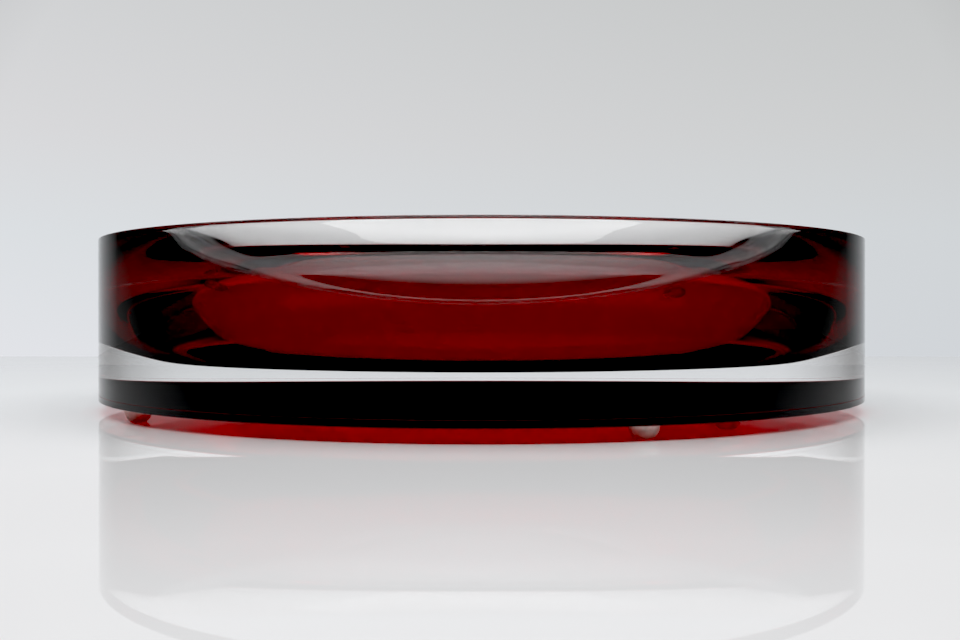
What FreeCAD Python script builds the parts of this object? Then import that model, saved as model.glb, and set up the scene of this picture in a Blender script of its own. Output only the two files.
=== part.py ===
import FreeCAD, Part
import math
import os

from FreeCAD import Vector

# Clear round display bowl: a thick solid disc of clear acrylic with a wide,
# shallow polished hollow in its top face. Under it a thin two-layer base is
# cemented: a clear backing sheet with a layer of transparent ruby acrylic
# laminated below. The whole stands on four small clear self-adhesive bumpers.
#
# Frame: millimetres, +Z up, origin on the table plane, on the disc's axis.
# The front of the object faces -Y, +X is to the right seen from the front.

# ---------------------------------------------------------------- dimensions
disc_radius = 177.8            # outer radius of the block and of the sheet (14 in across)
top_z = 75.49                  # flat rim face above the table
foot_height = 5.21             # table to the underside of the ruby sheet
ruby_top_z = 6.54              # upper face of the ruby sheet, lamination plane
backing_top_z = 7.94           # upper face of the clear backing sheet
film_thickness = 0.10          # cured cement between backing sheet and block
block_bottom_z = backing_top_z + film_thickness

dish_floor_z = 18.965          # lowest point of the hollow, on the axis
dish_floor_radius = 2443.2     # large shallow arc of the hollow's floor
wall_slope_at_rim = 75.67      # degrees from level, where the wall meets the rim
# Stations of the hollow's wall, radius and height, from the floor to the rim.
wall_stations = [
    (96.924, 20.888),
    (99.904, 21.214),
    (102.824, 21.896),
    (105.682, 22.807),
    (108.976, 23.991),
    (112.238, 25.257),
    (115.881, 26.906),
    (120.164, 29.479),
    (124.144, 32.503),
    (127.861, 35.846),
    (131.799, 39.685),
    (135.663, 43.599),
    (139.716, 48.022),
    (143.449, 52.717),
    (147.031, 58.138),
    (150.017, 63.908),
    (152.558, 70.427),
    (153.964, 75.227),
]

outer_edge_round = 0.35        # polished round on the outer top edge
inner_edge_round = 0.35        # polished round on the hollow's edge
sheet_edge_break = 0.20        # small chamfer on the ruby sheet's lower outer edge

bumper_radius = 5.45           # radius of a bumper at its top, against the adhesive
bumper_land = 0.40             # short straight wall above the dome
adhesive_thickness = 0.15      # adhesive disc on top of each bumper
adhesive_radius = 5.25
bumper_top_z = foot_height - adhesive_thickness
bumper_contact_radius = 3.0    # flat where the soft dome stands on the table

# Bumpers were stuck on by hand just inside the edge: four about a quarter turn
# apart and a fifth at the front. Each angle is measured from the front (-Y) and
# grows towards +X.
bumpers = {
    "front_left": (-53.8, 169.8),
    "front_right": (19.2, 170.0),
    "right": (36.2, 156.1),
    "back_right": (126.2, 163.0),
    "back_left": (-143.8, 163.0),
}

os.makedirs("parts", exist_ok=True)


def save(shape, node):
    """Write one sub-part and report what it is."""
    shape = shape.copy()
    assert shape.isValid(), node
    assert len(shape.Solids) == 1, node
    shape.exportStep(os.path.join("parts", node + ".step"))
    box = shape.BoundBox
    print(
        "%-24s volume %12.2f mm3  z %7.3f to %7.3f  r %8.3f"
        % (node, shape.Volume, box.ZMin, box.ZMax, box.XLength / 2)
    )


def revolve(edges):
    """Full turn about Z of a closed profile drawn in the XZ plane."""
    face = Part.Face(Part.Wire(edges))
    solid = face.revolve(Vector(0, 0, 0), Vector(0, 0, 1), 360)
    if solid.ShapeType != "Solid":
        solid = Part.Solid(solid)
    if solid.Volume < 0:
        solid.reverse()
    return solid


def line(a, b):
    return Part.makeLine(Vector(a[0], 0, a[1]), Vector(b[0], 0, b[1]))


def arc(a, m, b):
    return Part.Arc(
        Vector(a[0], 0, a[1]), Vector(m[0], 0, m[1]), Vector(b[0], 0, b[1])
    ).toShape()


# -------------------------------------------------------- hollow of the block
# The floor is one large shallow arc centred on the axis. The wall leaves it
# tangent at wall_stations[0] and steepens smoothly to the rim, as one spline
# through the stations, spaced by the straight distances between them.
floor_centre_z = dish_floor_z + dish_floor_radius


def floor_z(r):
    return floor_centre_z - math.sqrt(dish_floor_radius ** 2 - r ** 2)


join_r = wall_stations[0][0]
join_z = floor_z(join_r)
join_slope = math.asin(join_r / dish_floor_radius)
rim_slope = math.radians(wall_slope_at_rim)

# Round of the hollow's edge: a small circle tangent to the rim face, starting
# where the wall ends.
q = inner_edge_round
touch_r = wall_stations[-1][0]
touch_z = top_z - q + q * math.cos(rim_slope)
edge_r = touch_r + q * math.sin(rim_slope)
edge_z = top_z - q
edge_top = (edge_r, top_z)
half = 0.5 * (math.pi / 2 + (math.pi / 2 + rim_slope))
edge_mid = (edge_r + q * math.cos(half), edge_z + q * math.sin(half))
print("floor meets wall at r %.3f z %.3f, rim face from r %.3f" % (join_r, join_z, edge_r))

points = [(join_r, join_z)] + wall_stations[1:-1] + [(touch_r, touch_z)]
spacing = [0.0]
for (ra, za), (rb, zb) in zip(points[:-1], points[1:]):
    spacing.append(spacing[-1] + math.hypot(rb - ra, zb - za))
wall = Part.BSplineCurve()
wall.interpolate(
    Points=[Vector(r, 0, z) for r, z in points],
    Parameters=spacing,
    InitialTangent=Vector(math.cos(join_slope), 0, math.sin(join_slope)),
    FinalTangent=Vector(math.cos(rim_slope), 0, math.sin(rim_slope)),
)

p = outer_edge_round
outer_mid = (
    disc_radius - p + p * math.cos(math.pi / 4),
    top_z - p + p * math.sin(math.pi / 4),
)

bowl_body = revolve(
    [
        line((0, block_bottom_z), (disc_radius, block_bottom_z)),
        line((disc_radius, block_bottom_z), (disc_radius, top_z - p)),
        arc((disc_radius, top_z - p), outer_mid, (disc_radius - p, top_z)),
        line((disc_radius - p, top_z), edge_top),
        arc(edge_top, edge_mid, (touch_r, touch_z)),
        wall.toShape(),
        arc((join_r, join_z), (join_r / 2, floor_z(join_r / 2)), (0, dish_floor_z)),
        line((0, dish_floor_z), (0, block_bottom_z)),
    ]
)
save(bowl_body, "bowl_body")

# ---------------------------------------------- cement, backing and ruby sheet
bond_film = Part.makeCylinder(
    disc_radius, film_thickness, Vector(0, 0, backing_top_z), Vector(0, 0, 1)
)
save(bond_film, "bond_film")

backing_sheet = Part.makeCylinder(
    disc_radius, backing_top_z - ruby_top_z, Vector(0, 0, ruby_top_z), Vector(0, 0, 1)
)
save(backing_sheet, "backing_sheet")

s = sheet_edge_break
ruby_sheet = revolve(
    [
        line((0, foot_height), (disc_radius - s, foot_height)),
        line((disc_radius - s, foot_height), (disc_radius, foot_height + s)),
        line((disc_radius, foot_height + s), (disc_radius, ruby_top_z)),
        line((disc_radius, ruby_top_z), (0, ruby_top_z)),
        line((0, ruby_top_z), (0, foot_height)),
    ]
)
save(ruby_sheet, "ruby_sheet")

# --------------------------------------------------------------------- bumpers
# A clear dome flattened where it stands on the table, with a short straight
# wall above it, and an adhesive disc that holds it to the underside of the ruby
# sheet. The dome's arc is upright where it meets the straight wall.
b = bumper_top_z - bumper_land
c = bumper_contact_radius
dome_radius = ((bumper_radius - c) ** 2 + b ** 2) / (2 * (bumper_radius - c))
dome_centre = bumper_radius - dome_radius
half = 0.5 * math.asin(b / dome_radius)
dome_mid = (dome_centre + dome_radius * math.cos(half), b - dome_radius * math.sin(half))
bumper = revolve(
    [
        line((0, 0), (c, 0)),
        arc((c, 0), dome_mid, (bumper_radius, b)),
        line((bumper_radius, b), (bumper_radius, bumper_top_z)),
        line((bumper_radius, bumper_top_z), (0, bumper_top_z)),
        line((0, bumper_top_z), (0, 0)),
    ]
)

for place, (angle, radius) in bumpers.items():
    t = math.radians(angle)
    x = radius * math.sin(t)
    y = -radius * math.cos(t)
    foot = bumper.copy()
    foot.translate(Vector(x, y, 0))
    save(foot, "bumper_" + place)
    pad = Part.makeCylinder(
        adhesive_radius, adhesive_thickness, Vector(x, y, bumper_top_z), Vector(0, 0, 1)
    )
    save(pad, "adhesive_" + place)
    print("    centre x %.2f y %.2f" % (x, y))
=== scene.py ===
import bpy
import math
import numpy as np
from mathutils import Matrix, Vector


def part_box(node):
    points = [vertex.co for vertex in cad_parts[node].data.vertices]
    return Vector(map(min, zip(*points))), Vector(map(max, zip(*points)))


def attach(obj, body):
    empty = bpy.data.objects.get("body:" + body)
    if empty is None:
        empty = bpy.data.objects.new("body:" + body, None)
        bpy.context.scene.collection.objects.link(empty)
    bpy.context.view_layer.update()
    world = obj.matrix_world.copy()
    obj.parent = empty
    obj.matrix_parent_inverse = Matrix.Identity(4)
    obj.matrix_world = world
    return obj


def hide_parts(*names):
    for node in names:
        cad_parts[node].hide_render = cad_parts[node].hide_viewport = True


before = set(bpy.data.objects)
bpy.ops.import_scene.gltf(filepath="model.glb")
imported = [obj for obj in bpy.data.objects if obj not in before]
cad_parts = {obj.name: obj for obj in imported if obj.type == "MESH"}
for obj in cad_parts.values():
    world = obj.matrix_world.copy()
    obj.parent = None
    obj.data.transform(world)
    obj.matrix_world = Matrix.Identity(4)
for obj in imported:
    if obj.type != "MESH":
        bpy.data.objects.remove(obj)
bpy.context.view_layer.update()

scene = bpy.context.scene

# ------------------------------------------------------------------ dimensions
# Metres, in the CAD model's frame. The heights of the block, sheets and feet come from the imported nodes; the hollow's
# floor and wall heights are listed below.
body_lo, body_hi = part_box("bowl_body")
film_lo, film_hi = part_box("bond_film")
ply_lo, ply_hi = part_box("backing_sheet")
ruby_lo, ruby_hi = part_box("ruby_sheet")
R = ruby_hi[0]                      # outer radius of block and sheet
Z_TOP = body_hi[2]                   # rim face
Z_BLOCK = body_lo[2]                 # underside of the clear block
Z_PLY = ply_hi[2]                    # upper face of the clear backing sheet
Z_RUBY = ruby_hi[2]                  # lamination plane
Z_FOOT = ruby_lo[2]                 # underside of the ruby sheet
GAP = 0.000012                       # keeps bonded faces from lying in one plane

FLOOR_Z = 0.018965
FLOOR_RADIUS = 2.4432
RIM_SLOPE = math.radians(75.67)
EDGE_ROUND = 0.00035
SHEET_BREAK = 0.00020
WALL = [
    (96.924, 20.8883), (99.904, 21.214), (102.824, 21.896), (105.682, 22.807),
    (108.976, 23.991), (112.238, 25.257), (115.881, 26.906), (120.164, 29.479),
    (124.144, 32.503), (127.861, 35.846), (131.799, 39.685), (135.663, 43.599),
    (139.716, 48.022), (143.449, 52.717), (147.031, 58.138), (150.017, 63.908),
    (152.558, 70.427), (153.964, 75.2266),
]
SEGMENTS = 512


# ------------------------------------------------------------------ mesh making
def new_object(name, verts, faces, smooth=True):
    me = bpy.data.meshes.new(name)
    me.from_pydata([tuple(v) for v in verts], [], faces)
    me.validate()
    me.update()
    ob = bpy.data.objects.new(name, me)
    scene.collection.objects.link(ob)
    for p in me.polygons:
        p.use_smooth = smooth
    return ob


def lathe(name, profile, segments=SEGMENTS, centre=(0.0, 0.0), sharp_deg=15.0):
    """Closed solid turned about a vertical axis. The profile runs from the axis
    at the bottom, out and up and back to the axis at the top."""
    verts, rings, faces = [], [], []
    for r, z in profile:
        if r < 1e-9:
            rings.append([len(verts)])
            verts.append((centre[0], centre[1], z))
        else:
            first = len(verts)
            rings.append(list(range(first, first + segments)))
            for k in range(segments):
                a = 2 * math.pi * k / segments
                verts.append((centre[0] + r * math.cos(a), centre[1] + r * math.sin(a), z))
    for low, high in zip(rings[:-1], rings[1:]):
        for k in range(segments):
            n = (k + 1) % segments
            if len(low) == 1 and len(high) == 1:
                continue
            if len(low) == 1:
                faces.append((low[0], high[n], high[k]))
            elif len(high) == 1:
                faces.append((low[k], low[n], high[0]))
            else:
                faces.append((low[k], low[n], high[n], high[k]))
    ob = new_object(name, verts, faces)
    # sharp edges where the profile really turns
    me = ob.data
    limit = math.cos(math.radians(sharp_deg))
    normals = [Vector(p.normal) for p in me.polygons]
    edge_faces = {}
    for p in me.polygons:
        for key in p.edge_keys:
            edge_faces.setdefault(key, []).append(p.index)
    sharp = me.attributes.new("sharp_edge", "BOOLEAN", "EDGE")
    for e in me.edges:
        pair = edge_faces.get(tuple(sorted(e.vertices)), [])
        if len(pair) == 2 and normals[pair[0]].dot(normals[pair[1]]) < limit:
            sharp.data[e.index].value = True
    return ob


def clamped_spline(points, start, end, steps):
    """Smooth curve through points with set end directions, the same cubic spline
    over straight distances as the CAD wall."""
    P = np.array(points, float)
    u = np.concatenate([[0], np.cumsum(np.hypot(*np.diff(P, axis=0).T))])
    n = len(P)
    h = np.diff(u)
    A = np.zeros((n, n))
    B = np.zeros((n, 2))
    A[0, 0] = A[-1, -1] = 1
    B[0], B[-1] = start, end
    for i in range(1, n - 1):
        A[i, i - 1] = h[i]
        A[i, i] = 2 * (h[i - 1] + h[i])
        A[i, i + 1] = h[i - 1]
        B[i] = 3 * (h[i] * (P[i] - P[i - 1]) / h[i - 1] + h[i - 1] * (P[i + 1] - P[i]) / h[i])
    D = np.linalg.solve(A, B)
    out = []
    for i in range(n - 1):
        for k in range(steps):
            t = k / steps
            h00 = 2 * t ** 3 - 3 * t ** 2 + 1
            h10 = t ** 3 - 2 * t ** 2 + t
            h01 = -2 * t ** 3 + 3 * t ** 2
            h11 = t ** 3 - t ** 2
            out.append(h00 * P[i] + h10 * h[i] * D[i] + h01 * P[i + 1] + h11 * h[i] * D[i + 1])
    out.append(P[-1])
    return [tuple(p) for p in out]


def round_corner(cr, cz, radius, a0, a1, steps):
    return [
        (cr + radius * math.cos(a0 + (a1 - a0) * k / steps), cz + radius * math.sin(a0 + (a1 - a0) * k / steps))
        for k in range(steps + 1)
    ]


# The clear block: underside, outer wall, rounded rim, the hollow's wall and floor.
join_slope = math.asin(WALL[0][0] / 1000 / FLOOR_RADIUS)
wall = clamped_spline(
    [(r / 1000, z / 1000) for r, z in WALL],
    (math.cos(join_slope), math.sin(join_slope)),
    (math.cos(RIM_SLOPE), math.sin(RIM_SLOPE)),
    6,
)
q = EDGE_ROUND
hollow = []
for k in range(36):
    r = WALL[0][0] / 1000 * k / 36
    hollow.append((r, FLOOR_Z + FLOOR_RADIUS - math.sqrt(FLOOR_RADIUS ** 2 - r * r)))
hollow += wall
touch_r, touch_z = wall[-1]
inner = round_corner(touch_r + q * math.sin(RIM_SLOPE), Z_TOP - q, q, math.pi / 2 + RIM_SLOPE, math.pi / 2, 6)
outer = round_corner(R - q, Z_TOP - q, q, 0.0, math.pi / 2, 6)
profile = [(0, Z_BLOCK + GAP), (R * 0.5, Z_BLOCK + GAP), (R, Z_BLOCK + GAP)]
profile += [(R, Z_BLOCK + GAP + (Z_TOP - q - Z_BLOCK - GAP) * k / 8) for k in range(1, 8)]
profile += outer
profile += [(R - q - (R - q - inner[-1][0]) * k / 6, Z_TOP) for k in range(1, 6)]
profile += inner[::-1]
profile += hollow[::-1][1:]
body = lathe("bowl_body_polished", profile)

# The cured cement, a film that shows only at its edge.
film = lathe(
    "bond_film_cured",
    [(0, Z_PLY + GAP), (R * 0.5, Z_PLY + GAP), (R - 0.00003, Z_PLY + GAP), (R - 0.00003, Z_BLOCK - GAP),
     (R * 0.5, Z_BLOCK - GAP), (0, Z_BLOCK - GAP)],
)

# The clear backing sheet, and the ruby sheet laminated under it, with its lower
# edge broken.
backing = lathe(
    "backing_sheet_clear",
    [(0, Z_RUBY + GAP), (R * 0.5, Z_RUBY + GAP), (R, Z_RUBY + GAP), (R, 0.5 * (Z_RUBY + Z_PLY)), (R, Z_PLY - GAP),
     (R * 0.5, Z_PLY - GAP), (0, Z_PLY - GAP)],
)
s = SHEET_BREAK
ruby = lathe(
    "ruby_sheet_polished",
    [(0, Z_FOOT + GAP), (R * 0.5, Z_FOOT + GAP), (R - s, Z_FOOT + GAP), (R, Z_FOOT + s), (R, Z_FOOT + s + (Z_RUBY - Z_FOOT - s) / 2),
     (R, Z_RUBY), (R * 0.5, Z_RUBY), (0, Z_RUBY)],
)

# Bumpers and their adhesive discs.
feet = sorted(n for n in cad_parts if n.startswith("bumper_"))
foot_pieces = []
pads = []
for name in feet:
    place = name[len("bumper_"):]
    lo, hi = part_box(name)
    cx, cy = 0.5 * (lo[0] + hi[0]), 0.5 * (lo[1] + hi[1])
    rb = 0.5 * (hi[0] - lo[0])
    top = hi[2] - GAP
    height = top - 0.0004
    contact = 0.0030
    dome = ((rb - contact) ** 2 + height ** 2) / (2 * (rb - contact))
    sweep = math.asin(height / dome)
    prof = [(0, lo[2] + 0.00001), (contact * 0.5, lo[2] + 0.00001)]
    prof += [(rb - dome + dome * math.cos(a), height - dome * math.sin(a)) for a in
             [sweep * (1 - k / 14) for k in range(0, 15)]]
    prof = [(r, max(z, lo[2] + 0.00001)) for r, z in prof]
    # a soft shoulder where the moulded dome meets its flat back
    prof += [(rb, top - 0.00018), (rb - 0.00005, top - 0.00006), (rb - 0.00016, top), (rb * 0.5, top), (0, top)]
    foot = lathe("bumper_" + place + "_moulded", prof, 72, (cx, cy), 40)
    foot_pieces.append((foot, name, place, (cx, cy)))
    alo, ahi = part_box("adhesive_" + place)
    ra = 0.5 * (ahi[0] - alo[0])
    pad = lathe(
        "adhesive_" + place + "_disc",
        [(0, alo[2] + GAP), (ra * 0.5, alo[2] + GAP), (ra, alo[2] + GAP), (ra + 0.0, 0.5 * (alo[2] + ahi[2])),
         (ra, ahi[2] - GAP), (ra * 0.5, ahi[2] - GAP), (0, ahi[2] - GAP)],
        72, (cx, cy), 40,
    )
    pads.append((pad, "adhesive_" + place, (cx, cy), ra))


# ------------------------------------------------------------------- materials
class Mat:
    def __init__(self, name):
        self.m = bpy.data.materials.new(name)
        self.m.use_nodes = True
        self.nt = self.m.node_tree
        self.nt.nodes.clear()
        self.out = self.nt.nodes.new("ShaderNodeOutputMaterial")

    def node(self, kind, **sockets):
        n = self.nt.nodes.new("ShaderNode" + kind)
        for k, v in sockets.items():
            n.inputs[k.replace("_", " ")].default_value = v
        return n

    def link(self, a, b):
        self.nt.links.new(a, b)

    def math(self, op, a, b=None, clamp=False):
        n = self.nt.nodes.new("ShaderNodeMath")
        n.operation = op
        n.use_clamp = clamp
        for i, v in enumerate((a, b)):
            if v is None:
                continue
            if isinstance(v, (int, float)):
                n.inputs[i].default_value = v
            else:
                self.link(v, n.inputs[i])
        return n.outputs[0]

    def position(self):
        if not hasattr(self, "_pos"):
            self._pos = self.nt.nodes.new("ShaderNodeTexCoord").outputs["Object"]
        return self._pos

    def axis(self, which):
        sep = self.nt.nodes.new("ShaderNodeSeparateXYZ")
        self.link(self.position(), sep.inputs[0])
        return sep.outputs[which]

    def noise(self, scale, detail=2.0, rough=0.5, vector=None, stretch=None):
        n = self.nt.nodes.new("ShaderNodeTexNoise")
        n.inputs["Scale"].default_value = scale
        n.inputs["Detail"].default_value = detail
        n.inputs["Roughness"].default_value = rough
        v = vector or self.position()
        if stretch:
            mp = self.nt.nodes.new("ShaderNodeMapping")
            mp.inputs["Scale"].default_value = stretch
            self.link(v, mp.inputs[0])
            v = mp.outputs[0]
        self.link(v, n.inputs["Vector"])
        return n.outputs["Fac"]

    def remap(self, value, a, b, c, d):
        n = self.nt.nodes.new("ShaderNodeMapRange")
        n.inputs[1].default_value = a
        n.inputs[2].default_value = b
        n.inputs[3].default_value = c
        n.inputs[4].default_value = d
        n.clamp = True
        self.link(value, n.inputs[0])
        return n.outputs[0]

    def mix(self, fac, a, b):
        n = self.nt.nodes.new("ShaderNodeMixShader")
        if isinstance(fac, (int, float)):
            n.inputs[0].default_value = fac
        else:
            self.link(fac, n.inputs[0])
        self.link(a, n.inputs[1])
        self.link(b, n.inputs[2])
        return n.outputs[0]


def through_face():
    """A face cemented to its neighbour: light passes straight on."""
    m = Mat("cemented_face")
    r = m.node("BsdfRefraction", IOR=1.0, Roughness=0.0)
    r.inputs["Color"].default_value = (1, 1, 1, 1)
    m.link(r.outputs[0], m.out.inputs["Surface"])
    return m.m


ACRYLIC_IOR = 1.4915
CEMENTED = through_face()


def two_tone(m, value, dark, light):
    n = m.nt.nodes.new("ShaderNodeMix")
    n.data_type = "RGBA"
    n.inputs[6].default_value = (*dark, 1)
    n.inputs[7].default_value = (*light, 1)
    m.link(value, n.inputs[0])
    return n.outputs[2]


def clear_acrylic(dusty):
    """Polished cast acrylic: water clear with a breath of tint that drifts over
    the surface, and on faces that look up a few specks of dust."""
    m = Mat("clear_acrylic_polished")
    g = m.node("BsdfGlass", IOR=ACRYLIC_IOR)
    drift = m.noise(34.0, 4.0, 0.55)
    m.link(two_tone(m, m.remap(drift, 0.35, 0.65, 0.0, 1.0), (0.990, 0.993, 0.992), (1.0, 1.0, 1.0)), g.inputs["Color"])
    g.inputs["Roughness"].default_value = 0.0
    if not dusty:
        m.link(g.outputs[0], m.out.inputs["Surface"])
        return m.m
    dust = m.node("BsdfDiffuse", Color=(0.72, 0.71, 0.69, 1))
    specks = m.remap(m.noise(1500.0, 2.0, 0.6), 0.765, 0.79, 0.0, 0.55)
    fibres = m.remap(m.noise(260.0, 3.0, 0.7, stretch=(1.0, 9.0, 2.0)), 0.755, 0.785, 0.0, 0.30)
    geo = m.nt.nodes.new("ShaderNodeNewGeometry")
    sep = m.nt.nodes.new("ShaderNodeSeparateXYZ")
    m.link(geo.outputs["Normal"], sep.inputs[0])
    up = m.remap(sep.outputs[2], 0.55, 0.8, 0.0, 1.0)
    cover = m.math("MULTIPLY", m.math("MAXIMUM", specks, fibres), up)
    m.link(m.mix(cover, g.outputs[0], dust.outputs[0]), m.out.inputs["Surface"])
    return m.m


def ruby_acrylic(discs):
    """Transparent red right through. Its upper face is cemented, and so are the
    spots where the adhesive discs wet it."""
    m = Mat("ruby_acrylic_sheet")
    g = m.node("BsdfGlass", IOR=ACRYLIC_IOR)
    m.link(two_tone(m, m.noise(55.0, 3.0, 0.55), (1.0, 0.97, 0.97), (0.985, 1.0, 1.0)), g.inputs["Color"])
    g.inputs["Roughness"].default_value = 0.0
    r = m.node("BsdfRefraction", IOR=1.0, Roughness=0.0)
    r.inputs["Color"].default_value = (1, 1, 1, 1)
    z = m.axis(2)
    bonded = m.math("GREATER_THAN", z, Z_RUBY - 0.000003)
    low = m.math("LESS_THAN", z, Z_FOOT + GAP + 0.000003)
    for (cx, cy), ra in discs:
        d = m.nt.nodes.new("ShaderNodeVectorMath")
        d.operation = "DISTANCE"
        m.link(m.position(), d.inputs[0])
        d.inputs[1].default_value = (cx, cy, Z_FOOT + GAP)
        spot = m.math("MULTIPLY", m.math("LESS_THAN", d.outputs["Value"], ra), low)
        bonded = m.math("MAXIMUM", bonded, spot)
    m.link(m.mix(bonded, g.outputs[0], r.outputs[0]), m.out.inputs["Surface"])
    v = m.node("VolumeAbsorption", Density=RUBY_DENSITY)
    v.inputs["Color"].default_value = RUBY_COLOR
    m.link(v.outputs[0], m.out.inputs["Volume"])
    return m.m


RUBY_DENSITY = 5200.0
RUBY_COLOR = (0.915, 0.0, 0.05, 1.0)


def cement():
    """Cured cement at the bond's edge: a thin tinted line with tiny beads."""
    m = Mat("cement_edge")
    g = m.node("BsdfGlass", IOR=1.48)
    g.inputs["Color"].default_value = (0.80, 0.45, 0.45, 1)
    beads = m.noise(700.0, 3.0, 0.6)
    m.link(m.remap(beads, 0.3, 0.8, 0.05, 0.4), g.inputs["Roughness"])
    d = m.node("BsdfDiffuse")
    m.link(two_tone(m, m.remap(beads, 0.35, 0.65, 0.0, 1.0), (0.42, 0.035, 0.05), (0.62, 0.09, 0.10)), d.inputs["Color"])
    m.link(m.mix(0.62, g.outputs[0], d.outputs[0]), m.out.inputs["Surface"])
    return m.m


def bumper_plastic():
    """Soft clear polyurethane, slightly milky, with a faint orange-peel skin."""
    m = Mat("bumper_polyurethane")
    g = m.node("BsdfGlass", IOR=1.47)
    g.inputs["Color"].default_value = (0.97, 0.955, 0.93, 1)
    cloud = m.noise(420.0, 3.0, 0.6)
    m.link(m.remap(cloud, 0.35, 0.8, 0.02, 0.12), g.inputs["Roughness"])
    bump = m.node("Bump", Strength=0.25, Distance=0.00008)
    m.link(m.noise(900.0, 2.0, 0.5), bump.inputs["Height"])
    m.link(bump.outputs[0], g.inputs["Normal"])
    d = m.node("BsdfDiffuse")
    m.link(two_tone(m, m.remap(cloud, 0.35, 0.65, 0.0, 1.0), (0.86, 0.80, 0.72), (0.95, 0.92, 0.87)), d.inputs["Color"])
    m.link(bump.outputs[0], d.inputs["Normal"])
    m.link(m.mix(m.remap(cloud, 0.3, 0.7, 0.42, 0.60), g.outputs[0], d.outputs[0]), m.out.inputs["Surface"])
    return m.m


def adhesive_gel():
    """Pressure-sensitive adhesive: yellowish, with uneven wet-out."""
    m = Mat("adhesive_gel")
    g = m.node("BsdfGlass", IOR=1.47)
    wet = m.noise(500.0, 4.0, 0.65)
    m.link(two_tone(m, wet, (0.84, 0.78, 0.68), (0.95, 0.93, 0.88)), g.inputs["Color"])
    m.link(m.remap(wet, 0.4, 0.7, 0.05, 0.35), g.inputs["Roughness"])
    m.link(g.outputs[0], m.out.inputs["Surface"])
    return m.m


CLEAR = clear_acrylic(True)
CLEAR_SHEET = clear_acrylic(False)
RUBY = ruby_acrylic([(c, ra) for _, _, c, ra in pads])
CEMENT = cement()
BUMPER = bumper_plastic()
GEL = adhesive_gel()


def assign(ob, outside, bonded=None, test=None):
    me = ob.data
    me.materials.append(outside)
    if bonded:
        me.materials.append(bonded)
        for p in me.polygons:
            if test(p):
                p.material_index = 1


assign(body, CLEAR, CEMENTED, lambda p: abs(p.center.z - Z_BLOCK - GAP) < 1e-6 and abs(p.normal.z) > 0.9)
assign(film, CEMENT, CEMENTED, lambda p: abs(p.normal.z) > 0.9)
assign(backing, CLEAR_SHEET, CEMENTED, lambda p: abs(p.normal.z) > 0.9)
assign(ruby, RUBY)
for foot, name, place, c in foot_pieces:
    assign(foot, BUMPER, CEMENTED, lambda p: p.normal.z > 0.9 and p.center.z > Z_FOOT - 0.0003)
for pad, name, c, ra in pads:
    assign(pad, GEL, CEMENTED, lambda p: abs(p.normal.z) > 0.9)

# ------------------------------------------------------------- frame bookkeeping
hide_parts("bowl_body"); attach(body, "root")
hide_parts("bond_film"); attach(film, "root")
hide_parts("backing_sheet"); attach(backing, "root")
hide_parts("ruby_sheet"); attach(ruby, "root")
for foot, name, place, c in foot_pieces:
    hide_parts(name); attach(foot, "root")
for pad, name, c, ra in pads:
    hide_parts(name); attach(pad, "root")

# ----------------------------------------------------------------------- stage
# Glossy white table, with its back edge behind the bowl.
TABLE_BACK = 0.571
tx, ty0 = 3.0, -3.0
nx, ny = 24, 24
tv, tf = [], []
for j in range(ny + 1):
    for i in range(nx + 1):
        tv.append((-tx + 2 * tx * i / nx, ty0 + (TABLE_BACK - ty0) * j / ny, 0.0))
for j in range(ny):
    for i in range(nx):
        a = j * (nx + 1) + i
        tf.append((a, a + 1, a + nx + 2, a + nx + 1))
table = new_object("stage_table", tv, tf, smooth=False)
t = Mat("stage_table_white")
b = t.node("BsdfPrincipled", Roughness=0.012)
b.inputs["IOR"].default_value = 1.18
grain = t.noise(3.0, 3.0, 0.5)
ramp = t.nt.nodes.new("ShaderNodeMix")
ramp.data_type = "RGBA"
ramp.inputs[6].default_value = (0.865, 0.865, 0.875, 1)
ramp.inputs[7].default_value = (0.885, 0.885, 0.895, 1)
t.link(grain, ramp.inputs[0])
t.link(ramp.outputs[2], b.inputs["Base Color"])
t.link(b.outputs[0], t.out.inputs["Surface"])
table.data.materials.append(t.m)

# World: one soft studio room, the same for every ray: a pale backdrop behind
# the table, and a dimmer room above and around it.
world = bpy.data.worlds.new("studio")
scene.world = world
world.use_nodes = True
nt = world.node_tree
nt.nodes.clear()
wout = nt.nodes.new("ShaderNodeOutputWorld")
tc = nt.nodes.new("ShaderNodeTexCoord")
sep = nt.nodes.new("ShaderNodeSeparateXYZ")
nt.links.new(tc.outputs["Generated"], sep.inputs[0])


def ramp_node(value, stops):
    n = nt.nodes.new("ShaderNodeValToRGB")
    cr = n.color_ramp
    cr.interpolation = "LINEAR"
    while len(cr.elements) > 1:
        cr.elements.remove(cr.elements[-1])
    for i, (p, c) in enumerate(stops):
        e = cr.elements[0] if i == 0 else cr.elements.new(p)
        e.position = p
        e.color = (c[0], c[1], c[2], 1) if isinstance(c, tuple) else (c, c, c, 1)
    nt.links.new(value, n.inputs[0])
    return n.outputs[0]


def wmap(value, a, b, c, d):
    n = nt.nodes.new("ShaderNodeMapRange")
    for i, v in enumerate((a, b, c, d)):
        n.inputs[i + 1].default_value = v
    n.clamp = True
    nt.links.new(value, n.inputs[0])
    return n.outputs[0]


def wmix(fac, a, b):
    n = nt.nodes.new("ShaderNodeMix")
    n.data_type = "RGBA"
    nt.links.new(fac, n.inputs[0])
    nt.links.new(a, n.inputs[6])
    nt.links.new(b, n.inputs[7])
    return n.outputs[2]


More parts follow.
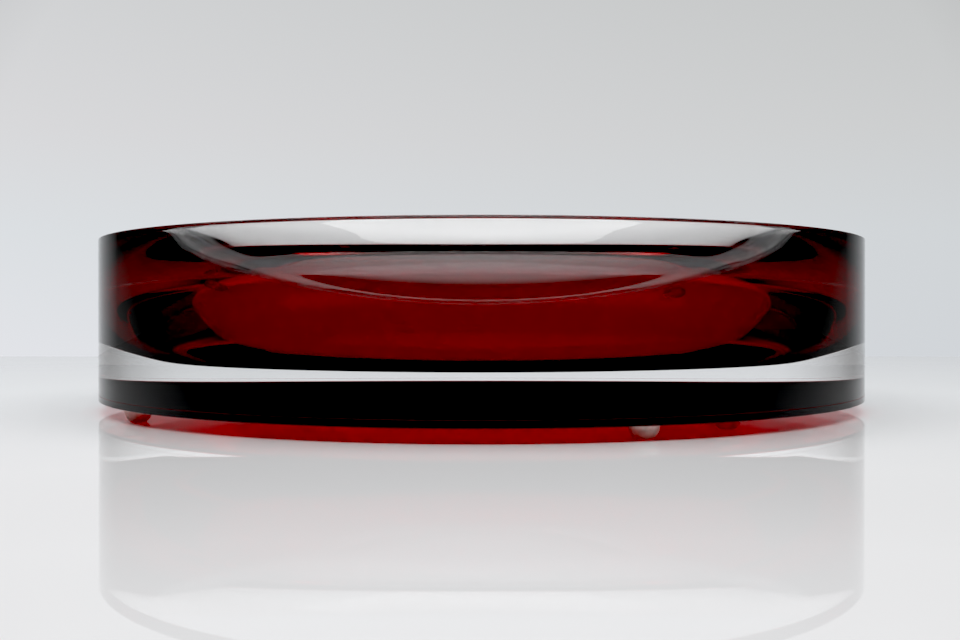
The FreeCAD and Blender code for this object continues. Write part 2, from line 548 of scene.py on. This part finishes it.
height = wmap(sep.outputs["Z"], -0.05, 0.30, 0.0, 1.0)
side = wmap(sep.outputs["X"], -0.42, 0.42, 0.0, 1.0)
left = ramp_node(height, [(0.0, (0.775, 0.785, 0.82)), (0.35, (0.72, 0.745, 0.77)), (0.6, (0.70, 0.70, 0.715)), (1.0, (0.64, 0.65, 0.66))])
right = ramp_node(height, [(0.0, (0.645, 0.67, 0.70)), (0.35, (0.645, 0.67, 0.69)), (0.6, (0.62, 0.63, 0.635)), (1.0, (0.565, 0.575, 0.575))])
backdrop = wmix(side, left, right)
up = wmap(sep.outputs["Z"], -0.2, 1.0, 0.0, 1.0)
room = ramp_node(up, [(0.0, 0.5), (0.17, 0.22), (0.30, 0.05), (1.0, 0.05)])
# the backdrop stands behind the table and ends at its own top and sides
above = wmap(sep.outputs["Z"], 0.3, 0.34, 1.0, 0.0)
facing = wmap(sep.outputs["Y"], 0.6, 0.9, 0.0, 1.0)
n = nt.nodes.new("ShaderNodeMath")
n.operation = "MULTIPLY"
nt.links.new(above, n.inputs[0])
nt.links.new(facing, n.inputs[1])
both = wmix(n.outputs[0], room, backdrop)
bg = nt.nodes.new("ShaderNodeBackground")
nt.links.new(both, bg.inputs["Color"])
bg.inputs["Strength"].default_value = 1.0
nt.links.new(bg.outputs[0], wout.inputs[0])

# overhead softbox
key = bpy.data.lights.new("softbox", "AREA")
key.shape = "RECTANGLE"
key.size, key.size_y = 3.4, 1.2
key.energy = 41.0
key_ob = bpy.data.objects.new("softbox", key)
key_ob.location = (0.0, -0.2, 1.6)
scene.collection.objects.link(key_ob)

# ---------------------------------------------------------------------- camera
cam = bpy.data.cameras.new("camera")
cam.sensor_width = 36.0
cam.lens = 1084.8 / 960 * 36.0
cam.clip_start = 0.01
cam_ob = bpy.data.objects.new("camera", cam)
cam_ob.location = (0.0, -3.0 * R, 0.0428)
cam_ob.rotation_euler = (math.radians(90) - 0.0051, 0.0, 1.45 / 1084.8)
scene.collection.objects.link(cam_ob)
scene.camera = cam_ob

# ------------------------------------------------------------- render behaviour
c = scene.cycles
c.max_bounces = 40
c.transmission_bounces = 40
c.glossy_bounces = 20
c.diffuse_bounces = 4
c.transparent_max_bounces = 40
c.caustics_refractive = True
c.caustics_reflective = True
c.sample_clamp_indirect = 0.0
scene.view_settings.view_transform = "Standard"
scene.view_settings.look = "None"
scene.view_settings.use_curve_mapping = True
scene.view_settings.curve_mapping.black_level = (0.0275, 0.0275, 0.0275)
